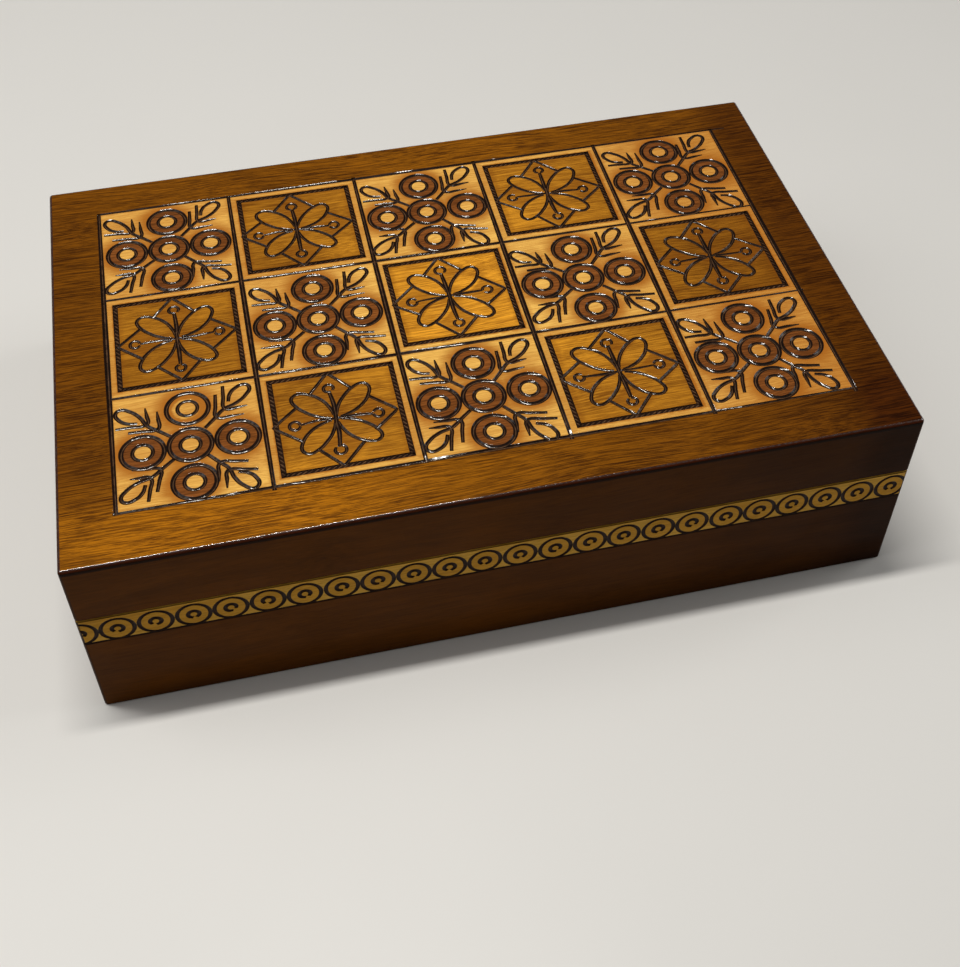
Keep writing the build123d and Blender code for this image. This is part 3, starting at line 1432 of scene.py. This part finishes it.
    def petal_layers(self) -> list[Layer]:
        """Petals, their pointed frame, the four stamens and the knot in the middle.

        Returns:
            Layers of strokes that don't touch within a layer.
        """
        sides, backs, frames, knobs, stems, belts, waists = [], [], [], [], [], [], []
        side = Stroke(PETAL_SIDE, self.petal_width, start=0.6)
        back = Stroke(PETAL_BACK, self.petal_width, start=0.6)
        (high, thick), (wide, thin) = self.waist, self.belt
        waist = Stroke(((0.0, -high), (0.0, high)), thick, straight=True, start=0.7, end=0.7)
        belt = Stroke(((-wide, 0.0), (wide, 0.0)), thin, straight=True, start=0.7, end=0.7)
        for _, _, (across, along) in self.tiles(Motif.PETALS):
            heart = (across - self.petal_shift + self.near(self.petal_slip[0]),
                     along + self.near(self.petal_slip[1]))
            for quarter in range(4):
                turn = quarter * QUARTER_TURN
                sway, grow = self.near(self.petal_turn), self.between(self.petal_grow)
                sides.append(side.turned(turn + sway, grow, heart))
                backs.append(back.turned(turn + sway, grow, heart))
                frames.append(self.point().turned(turn, 1.0, heart))
                knob = (self.between(self.knob_place), self.near(self.knob_slip))
                knobs.append(self.knob(knob).turned(turn, 1.0, heart))
                stem = ((1.7, 0.0), (6.0, self.near(0.3)), (knob[0] - 1.6, knob[1]))
                width = self.stem_width if quarter % 2 else self.between(self.thin_stem)
                stems.append(Stroke(stem, width, start=0.8, end=0.8).turned(turn, 1.0, heart))
            waists.append(waist.turned(self.near(self.knot_turns[0]), 1.0, heart))
            belts.append(belt.turned(self.near(self.knot_turns[1]), 1.0, heart))
        return [(sides, 4), (backs, 4), (frames, 1), (knobs, 4), (stems, 2), (belts, 1), (waists, 1)]

    def point(self) -> Stroke:
        """One point of the frame round the petals, to the right of the heart.

        Returns:
            A bent stroke from petal to petal.
        """
        tip = (self.point_reach + self.dice.uniform(-0.3, 0.4), self.near(0.6))
        inwards, aside = self.point_blunt
        upper, lower = (tip[0] - inwards, tip[1] + aside), (tip[0] - inwards, tip[1] - aside)
        foot, away = self.point_foot
        first = (foot, away + self.dice.uniform(-0.4, 0.2))
        last = (foot, -away + self.dice.uniform(-0.2, 0.4))
        return Stroke((first, upper, tip, lower, last), self.point_width, straight=True)

    def knob(self, spot: Point) -> Stroke:
        """The round end of a stamen, drawn as one open curl.

        Args:
            spot: Its middle.

        Returns:
            An open stroke.
        """
        first = 180.0 + self.dice.uniform(0.0, 25.0)
        sweep = self.between(self.knob_sweep) * self.dice.choice((-1, 1))
        line = round_line(spot, self.between(self.knob_radius), first, sweep, 7)
        return Stroke(line, self.knob_width, start=0.9, end=0.8)

    def rope_trenches(self) -> bpy.types.Object:
        """Shallow pressed beds for the rope frames: one is modelled and copied to each tile.

        Returns:
            A closed mesh of square frames.
        """
        outer = 2 * self.rope_half + self.rope_width
        bpy.ops.object.select_all(action="DESELECT")
        bpy.ops.mesh.primitive_plane_add(size=outer * MM, location=(0.0, 0.0, -self.rope_depth * MM))
        model = bpy.context.object
        bpy.ops.object.transform_apply(location=True)
        bpy.ops.object.mode_set(mode="EDIT")
        bpy.ops.mesh.select_mode(type="FACE")
        bpy.ops.mesh.select_all(action="SELECT")
        bpy.ops.mesh.inset(thickness=self.rope_width * MM)
        bpy.ops.mesh.delete(type="FACE")
        bpy.ops.mesh.select_all(action="SELECT")
        bpy.ops.mesh.extrude_region_move(TRANSFORM_OT_translate={"value": (0.0, 0.0, MM)})
        bpy.ops.mesh.select_all(action="SELECT")
        bpy.ops.mesh.normals_make_consistent(inside=False)
        bpy.ops.object.mode_set(mode="OBJECT")
        lift = self.size.middle_of(Face.TOP)
        copies = [copy_to(model, lift + Vector((*middle, 0.0)) * MM, 0.0)
                  for _, _, middle in self.tiles(Motif.PETALS)]
        bpy.data.objects.remove(model)
        return join(copies)

    def rope_stamps(self) -> bpy.types.Object:
        """Slanting dents that make the rope: one dent, arrayed to a row, copied to each side of each frame.

        Returns:
            A closed mesh of small ovals.
        """
        bpy.ops.object.select_all(action="DESELECT")
        bpy.ops.mesh.primitive_cone_add(vertices=10, radius1=self.stamp_foot * MM, radius2=MM, depth=MM)
        model = bpy.context.object
        model.scale = self.stamp_scale
        model.rotation_euler = (0.0, 0.0, math.radians(self.stamp_slant))
        bpy.ops.object.transform_apply(location=True, rotation=True, scale=True)
        row = model.modifiers.new("row", "ARRAY")
        row.use_relative_offset = False
        row.use_constant_offset = True
        row.constant_offset_displace = (self.rope_pitch * MM, 0.0, 0.0)
        row.count = self.rope_count
        bpy.ops.object.modifier_apply(modifier="row")
        model.location = (-self.rope_pitch * (self.rope_count - 1) / 2 * MM, 0.0, 0.0)
        bpy.ops.object.transform_apply(location=True)
        lift = self.size.middle_of(Face.TOP)
        rows = []
        for _, _, (across, along) in self.tiles(Motif.PETALS):
            for quarter in range(4):
                turn = QUARTER_TURN * quarter
                aside = -math.sin(math.radians(turn)) * self.rope_half
                ahead = math.cos(math.radians(turn)) * self.rope_half
                spot = Vector((across + aside, along + ahead, self.stamp_lift))
                rows.append(copy_to(model, lift + spot * MM, turn))
        bpy.data.objects.remove(model)
        return join(rows)

    def stain_at(self, across: float, along: float) -> Stain:
        """The stain of the flat wood at a place on the top.

        Args:
            across: Place along the length.
            along: Place along the width.

        Returns:
            The stain.
        """
        inside = (self.columns[0] < across < self.columns[-1]) and (self.rows[-1] < along < self.rows[0])
        if not inside:
            return Stain.BORDER
        for ring_x, ring_y, stained in self.rings:
            away = math.hypot(across - ring_x, along - ring_y)
            if self.ring_inner < away < self.ring_outer:
                return Stain.RUSSET if stained else Stain.PALE
        for _, _, (tile_x, tile_y) in self.tiles(Motif.PETALS):
            edge = max(abs(across - tile_x), abs(along - tile_y))
            if edge < self.tile_half:
                return Stain.AMBER if edge < self.rope_half else Stain.STRIP
        return Stain.PALE

    def stain_of(self, face: bpy.types.MeshPolygon) -> Stain:
        """The finish of one face of the carved board.

        Args:
            face: The face.

        Returns:
            Its finish.
        """
        across, along, up = (value / MM for value in face.center)
        depth = self.size.height - up
        slope = face.normal.z
        margin = min(self.size.half_length - abs(across), self.size.half_width - abs(along))
        if margin < self.edge_margin and depth > TOUCH:
            around = (Stain.BORDER, Stain.EDGE, Stain.RIM)
            steep = zip(around, self.edge_slopes)
            return next((stain for stain, least in steep if slope > least), Stain.SIDE)
        if depth > self.carving_depth:
            return Stain.BORDER
        if abs(depth - self.rope_depth) < TOUCH and slope > LEVEL:
            return Stain.SCORCHED
        if depth > self.groove_depth:
            # A level bed is lighter, as a painted sheen of the lacquer in the groove's bottom.
            return Stain.ASHEN if slope > BED_SLOPE else Stain.BURNT
        return self.stain_at(across, along)

    def dress(self, piece: bpy.types.Object, finishes: Finishes) -> None:
        """Stains the top face by face, and burns the grooves.

        Args:
            piece: The carved board.
            finishes: The finishes.
        """
        smooth(piece)
        top = self.size.height * MM
        flatten(piece, (top, top - self.rope_depth * MM))
        piece.data.materials.clear()
        for stain in Stain:
            piece.data.materials.append(finishes.top[stain])
        for face in piece.data.polygons:
            face.material_index = self.stain_of(face).value
        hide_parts("lid_top_panel")
        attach(piece, "lid")


@dataclass(frozen=True)
class LidFrame:
    """The lid's four rails, kept as the solids are."""

    along: tuple[str, ...] = ("lid_front_rail", "lid_back_rail")
    across: tuple[str, ...] = ("lid_left_rail", "lid_right_rail")

    def dress(self, finishes: Finishes) -> None:
        """Stains the rails along their grain.

        Args:
            finishes: The finishes.
        """
        for nodes, grain in ((self.along, Grain.LENGTHWISE), (self.across, Grain.CROSSWISE)):
            for node in nodes:
                put_finish(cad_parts[node], finishes.rail[grain])


# The base


@dataclass(frozen=True)
class BandedBase:
    """The base's four boards with their band of burnt circles, and the bottom sheet."""

    size: BoxSize
    band_low: float = 34.3
    circle_rise: float = 39.5
    circle_radius: float = 4.9
    circle_width: float = 1.15
    circle_pinch: float = 0.72
    pitch: float = 11.08
    curl_radius: float = 1.65
    curl_width: float = 1.15
    curl_gap: float = 38.0
    curl_turn: float = -72.0
    score_width: float = 0.75
    score_past: float = 2.0
    front_start: float = -129.9
    smoothness: int = 8
    groove_depth: float = 0.04
    groove_reach: float = 0.5
    stroke_reach: float = 0.75
    score_reach: float = 0.6
    least_outwards: float = 0.3
    large_face: float = 4e-6
    grains: dict[str, Grain] = field(default_factory=lambda: {
        "base_front_board": Grain.LENGTHWISE,
        "base_back_board": Grain.LENGTHWISE,
        "base_left_board": Grain.CROSSWISE,
        "base_right_board": Grain.CROSSWISE,
    })

    def half_of(self, face: Face) -> float:
        """Half the length of one side."""
        return self.size.half_length if face in (Face.FRONT, Face.BACK) else self.size.half_width

    def places(self, face: Face) -> list[float]:
        """Middles of the circles along one side.

        Args:
            face: The side.

        Returns:
            Places to the right, seen from outside.
        """
        count = int(2 * self.half_of(face) / self.pitch)
        if face in (Face.FRONT, Face.BACK):
            return [self.front_start + self.pitch * number for number in range(count + 1)]
        return [self.pitch * (number - (count - 1) / 2) for number in range(count)]

    def layers(self, face: Face) -> list[list[Stroke]]:
        """Circles, their inner curls and the scored line of one side.

        Args:
            face: The side.

        Returns:
            Layers of strokes.
        """
        dice = random.Random(f"band {face.name}")
        circles, curls = [], []
        for place in self.places(face):
            heart = (place + dice.uniform(-0.12, 0.12), self.circle_rise + dice.uniform(-0.15, 0.15))
            circles.append(circle(heart, self.circle_radius, self.circle_width, self.circle_pinch))
            first = self.curl_turn + self.curl_gap / 2 + dice.uniform(-40.0, 25.0)
            sweep = FULL_TURN - self.curl_gap + dice.uniform(-8.0, 8.0)
            curl = round_line(heart, self.curl_radius, first, sweep, 7)
            curls.append(Stroke(curl, self.curl_width, start=0.8, end=0.8))
        end = self.half_of(face)
        ticks = int(2 * end / self.pitch) + 2
        gap = 2 * (end + self.score_past) / ticks
        line = [(-end - self.score_past + gap * number, self.band_low + dice.uniform(-0.12, 0.12))
                for number in range(ticks + 1)]
        return [circles[0::2], circles[1::2], curls, [Stroke(tuple(line), self.score_width)]]

    def build(self) -> dict[str, bpy.types.Object]:
        """Carves the four boards.

        Returns:
            The pieces by the name of the solid that each replaces.
        """
        pieces = {node: blank(node, "banded_" + node) for node in self.grains}
        reach = {
            Face.FRONT: ("base_front_board",),
            Face.BACK: ("base_back_board",),
            Face.LEFT: ("base_left_board", "base_front_board", "base_back_board"),
            Face.RIGHT: ("base_right_board", "base_front_board", "base_back_board"),
        }
        for face, nodes in reach.items():
            for node in nodes:
                for strokes in self.layers(face):
                    cut(pieces[node], gouge(self.size, face, strokes, self.smoothness))
        return pieces

    def part_of(self, face: bpy.types.MeshPolygon) -> Band:
        """What one face of a board is.

        Args:
            face: The face.

        Returns:
            Plain wood, a groove's wall, a groove's bed or the wood within a circle.
        """
        across, along, up = (value / MM for value in face.center)
        sides = (
            (Face.FRONT, self.size.half_width + along, across, -face.normal.y),
            (Face.BACK, self.size.half_width - along, -across, face.normal.y),
            (Face.LEFT, self.size.half_length + across, -along, -face.normal.x),
            (Face.RIGHT, self.size.half_length - across, along, face.normal.x),
        )
        for side, depth, flat, outwards in sides:
            if depth > self.groove_reach or outwards < self.least_outwards:
                continue
            hearts = [math.hypot(flat - place, up - self.circle_rise) for place in self.places(side)]
            if depth < self.groove_depth:
                return Band.RINGED if min(hearts) < self.circle_radius else Band.PLAIN
            off_stroke = min(abs(away - radius) for away in hearts
                             for radius in (self.circle_radius, self.curl_radius))
            if off_stroke < self.stroke_reach or abs(up - self.band_low) < self.score_reach:
                # Beds get the lighter finish, a faint painted sheen.
                return Band.BED if outwards > BED_SLOPE else Band.WALL
        return Band.PLAIN

    def dress(self, pieces: dict[str, bpy.types.Object], finishes: Finishes) -> None:
        """Stains the boards, burns the grooves and leaves the bottom sheet bare.

        Args:
            pieces: The carved boards by the name of their solid.
            finishes: The finishes.
        """
        for node, piece in pieces.items():
            smooth(piece)
            flatten_large(piece, self.large_face)
            grain = self.grains[node]
            looks = {
                Band.PLAIN: finishes.board[grain],
                Band.WALL: finishes.ring_wall,
                Band.BED: finishes.ring_bed,
                Band.RINGED: finishes.ringed[grain],
            }
            piece.data.materials.clear()
            for part in Band:
                piece.data.materials.append(looks[part])
            for face in piece.data.polygons:
                face.material_index = self.part_of(face).value
            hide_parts(node)
            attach(piece, "base")
        put_finish(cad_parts["bottom_panel"], finishes.sheet)


@dataclass(frozen=True)
class HingePair:
    """The two brass butt hinges, kept as the solids are."""

    sides: tuple[str, ...] = ("left", "right")
    bodies: tuple[str, ...] = ("base", "lid")

    def dress(self, finishes: Finishes) -> None:
        """Gives leaves, pins and screws their brass.

        Args:
            finishes: The finishes.
        """
        for side in self.sides:
            put_finish(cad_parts[f"{side}_hinge_pin"], finishes.pin)
            for body in self.bodies:
                put_finish(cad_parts[f"{side}_hinge_{body}_leaf"], finishes.leaf)
        for body in self.bodies:
            put_finish(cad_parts[f"{body}_hinge_screws"], finishes.screw)


# The studio


def look_from(place: Colour, aim: Colour) -> Euler:
    """The turn of a lamp or a camera that stands at a place and looks at an aim."""
    return (Vector(aim) - Vector(place)).to_track_quat("-Z", "Y").to_euler()


@dataclass(frozen=True)
class Lamp:
    """A soft light with two sides. Places and sizes are in metres, the power is in watts."""

    name: str
    place: Colour
    aim: Colour
    sides: Point
    power: float
    colour: Colour

    def hang(self) -> None:
        """Hangs the light."""
        bpy.ops.object.light_add(type="AREA", location=self.place)
        lamp = bpy.context.object
        lamp.name = self.name
        lamp.data.shape = "RECTANGLE"
        lamp.data.size, lamp.data.size_y = self.sides
        lamp.data.energy = self.power
        lamp.data.color = self.colour
        lamp.rotation_euler = look_from(self.place, self.aim)


@dataclass(frozen=True)
class Studio:
    """Floor, lights and camera. Places are in metres."""

    floor_side: float = 6.0
    ambient: float = 0.08
    backdrop: Colour = (1.0, 0.98, 0.95)
    camera_place: Colour = (-0.0657, -0.3337, 0.3902)
    camera_aim: Colour = (0.0020, -0.0332, 0.0700)
    lens: float = 52.27
    shift_up: float = -0.12
    nearest: float = 0.01
    lamps: tuple[Lamp, ...] = (
        Lamp("overhead", (-0.17, 0.05, 1.25), (-0.17, 0.0, 0.05), (0.6, 0.06), 10.0, (1.0, 0.97, 0.92)),
        Lamp("broad_left", (-0.9, 0.1, 1.1), (0.0, 0.0, 0.05), (0.9, 0.9), 4.2, (1.0, 0.98, 0.95)),
        Lamp("broad_right", (1.55, 0.1, 1.15), (0.0, 0.0, 0.05), (0.9, 0.9), 7.7, (1.0, 0.98, 0.95)),
    )

    def build(self) -> None:
        """Lays the floor, hangs the lights and sets up the camera."""
        bpy.ops.object.select_all(action="DESELECT")
        bpy.ops.mesh.primitive_plane_add(size=self.floor_side, location=(0.0, 0.0, 0.0))
        floor = bpy.context.object
        floor.name = "floor"
        floor.data.materials.append(FloorFinish().make())
        for lamp in self.lamps:
            lamp.hang()
        world = bpy.data.worlds.new("studio")
        world.use_nodes = True
        backdrop = world.node_tree.nodes["Background"]
        backdrop.inputs["Color"].default_value = (*self.backdrop, 1.0)
        backdrop.inputs["Strength"].default_value = self.ambient
        bpy.context.scene.world = world
        bpy.ops.object.camera_add(location=self.camera_place)
        camera = bpy.context.object
        camera.name = "camera"
        camera.data.lens = self.lens
        camera.data.shift_y = self.shift_up
        camera.data.clip_start = self.nearest
        camera.rotation_euler = look_from(self.camera_place, self.camera_aim)
        bpy.context.scene.camera = camera
        bpy.context.scene.view_settings.view_transform = "Standard"


def report(pieces: list[bpy.types.Object]) -> None:
    """Logs how many triangles each carved piece has.

    Args:
        pieces: The pieces.
    """
    for piece in pieces:
        triangles = sum(len(face.vertices) - 2 for face in piece.data.polygons)
        log.info("%s: %d faces, %d triangles", piece.name, len(piece.data.polygons), triangles)


def main() -> None:
    """Builds and dresses the box, then sets up the studio."""
    logging.basicConfig(level=logging.INFO, format="%(name)s: %(message)s")
    size = BoxSize.from_frame()
    finishes = Finishes(size)
    top = CarvedTop(size)
    carved = top.build()
    top.dress(carved, finishes)
    base = BandedBase(size)
    boards = base.build()
    base.dress(boards, finishes)
    LidFrame().dress(finishes)
    HingePair().dress(finishes)
    report([carved, *boards.values()])
    Studio().build()


if __name__ == "__main__":
    main()
